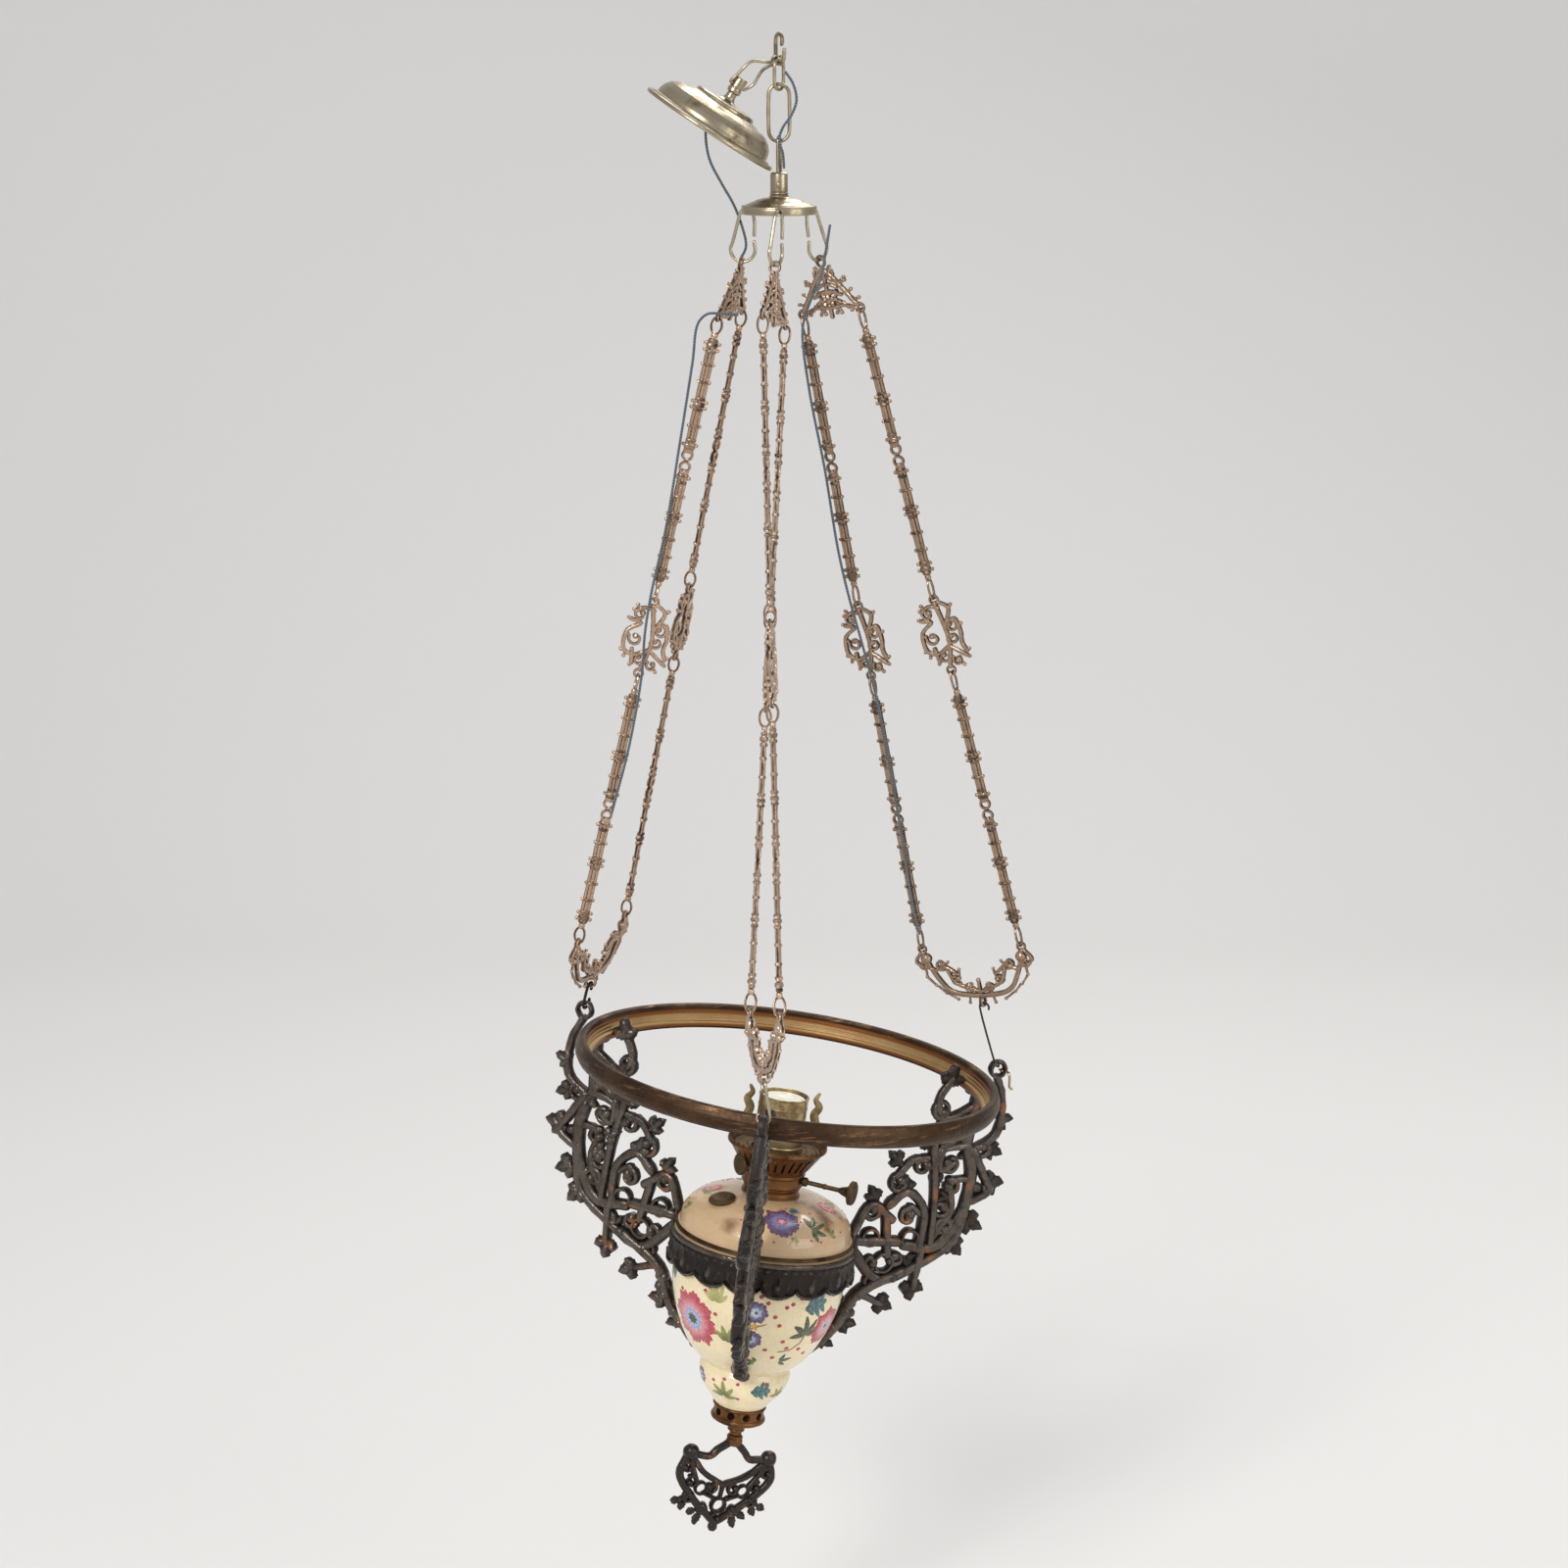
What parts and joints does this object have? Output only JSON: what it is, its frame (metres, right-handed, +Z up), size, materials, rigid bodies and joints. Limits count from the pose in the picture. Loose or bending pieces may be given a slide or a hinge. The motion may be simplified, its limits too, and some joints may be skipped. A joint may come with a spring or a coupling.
{
  "type": "hanging oil lamp chandelier",
  "caption": "Hanging oil lamp turned chandelier with canopy, cast double chains, shade ring, scrolled arms, flower-painted vase and font, burner and pull handle.",
  "frame": {"origin": "inside of the top curl of the ceiling hook, where it bears on the staple or eye that it hangs from", "axes": "+Z up; +Y away from the viewer of the picture, which looks along +Y; +X to the right in it"},
  "size_m": [0.4145, 0.4148, 1.278],
  "materials": {
    "aged_brass": "aged, brushed, with brown tarnish",
    "brass": "worn, satin",
    "rusty_iron": "worn bronze paint over rust",
    "bronze": "dark bronzed casting",
    "glaze": "cream glaze with painted flowers and brown stains",
    "copper": "copper coloured, satin",
    "tarnished_brass": "tarnished",
    "porcelain": "unglazed white",
    "steel_wire": "dull, rusted",
    "flex": "grey-blue cotton braid"
  },
  "bodies": {
    "ceiling_hook": {"ceiling_hook": "aged_brass"},
    "upper_link": {"upper_link": "aged_brass"},
    "lower_link": {"lower_link": "aged_brass", "flex_links": "flex"},
    "lamp": {"stem_bail": "aged_brass", "stem_socket": "aged_brass", "spider_cap": "aged_brass", "gallery_band": "aged_brass", "base_collar": "aged_brass", "cap_hook_left": "brass", "cap_hook_front": "brass", "cap_hook_right": "brass", "shade_ring": "brass", "crown_left": "rusty_iron", "yoke_left": "rusty_iron", "crown_front": "rusty_iron", "yoke_front": "rusty_iron", "crown_right": "rusty_iron", "yoke_right": "rusty_iron", "upper_bar_left_a": "rusty_iron", "mid_plate_left_a": "rusty_iron", "lower_bar_left_a": "rusty_iron", "upper_bar_left_b": "rusty_iron", "mid_plate_left_b": "rusty_iron", "lower_bar_left_b": "rusty_iron", "upper_bar_front_a": "rusty_iron", "mid_plate_front_a": "rusty_iron", "lower_bar_front_a": "rusty_iron", "upper_bar_front_b": "rusty_iron", "mid_plate_front_b": "rusty_iron", "lower_bar_front_b": "rusty_iron", "upper_bar_right_a": "rusty_iron", "mid_plate_right_a": "rusty_iron", "lower_bar_right_a": "rusty_iron", "upper_bar_right_b": "rusty_iron", "mid_plate_right_b": "rusty_iron", "lower_bar_right_b": "rusty_iron", "arm_left": "bronze", "arm_front": "bronze", "arm_right": "bronze", "vase": "glaze", "s_hook_left": "steel_wire", "s_hook_front": "steel_wire", "tie_wire_right": "steel_wire", "broken_hook_right": "steel_wire", "tie_rod": "steel_wire", "flex_feed": "flex", "flex_left": "flex", "flex_right": "flex"},
    "canopy": {"canopy": "aged_brass", "canopy_bail": "aged_brass"},
    "font": {"font": "glaze", "burner_collar": "copper"},
    "filler_cap": {"filler_cap": "tarnished_brass"},
    "burner": {"burner_body": "tarnished_brass", "lamp_tube": "brass", "socket_insert": "porcelain"},
    "wick_spindle": {"wick_spindle": "tarnished_brass"},
    "pull_handle": {"pull_handle": "bronze"}
  },
  "joints": [
    {"name": "hook_sway", "type": "hinge", "parent": "ceiling_hook", "child": "upper_link", "pos_m": [0, 0, -0.0222], "axis": [-0.5, 0.866, 0], "range_deg": [-4, 1]},
    {"name": "link_sway", "type": "hinge", "parent": "upper_link", "child": "lower_link", "pos_m": [0, 0, -0.0422], "axis": [0.6428, 0.766, 0], "range_deg": [-5, 1]},
    {"name": "lamp_sway", "type": "hinge", "parent": "lower_link", "child": "lamp", "pos_m": [0, 0, -0.0829], "axis": [1, 0, 0], "range_deg": [-8, 8]},
    {"name": "canopy_lift", "type": "hinge", "parent": "ceiling_hook", "child": "canopy", "pos_m": [-0.0008, 0.0014, -0.0157], "axis": [0, 1, 0], "range_deg": [0, 12]},
    {"name": "font_lift", "type": "slide", "parent": "lamp", "child": "font", "axis": [0.1392, 0.0276, 0.9899], "range_m": [0, 0.04]},
    {"name": "filler_cap_screw", "type": "hinge", "parent": "font", "child": "filler_cap", "pos_m": [-0.04826, -0.03274, -0.96493], "axis": [-0.1054, -0.1411, 0.9844], "continuous": true},
    {"name": "burner_screw", "type": "hinge", "parent": "font", "child": "burner", "pos_m": [-0.00754, -0.00445, -0.96675], "axis": [0.1392, 0.0276, 0.9899], "continuous": true},
    {"name": "wick_spindle_turn", "type": "hinge", "parent": "burner", "child": "wick_spindle", "pos_m": [-0.00537, -0.00402, -0.95131], "axis": [0.9305, -0.3455, -0.1212], "continuous": true},
    {"name": "pull_handle_screw", "type": "hinge", "parent": "lamp", "child": "pull_handle", "pos_m": [-0.03825, -0.01055, -1.18519], "axis": [0.1392, 0.0276, 0.9899], "continuous": true}
  ]
}
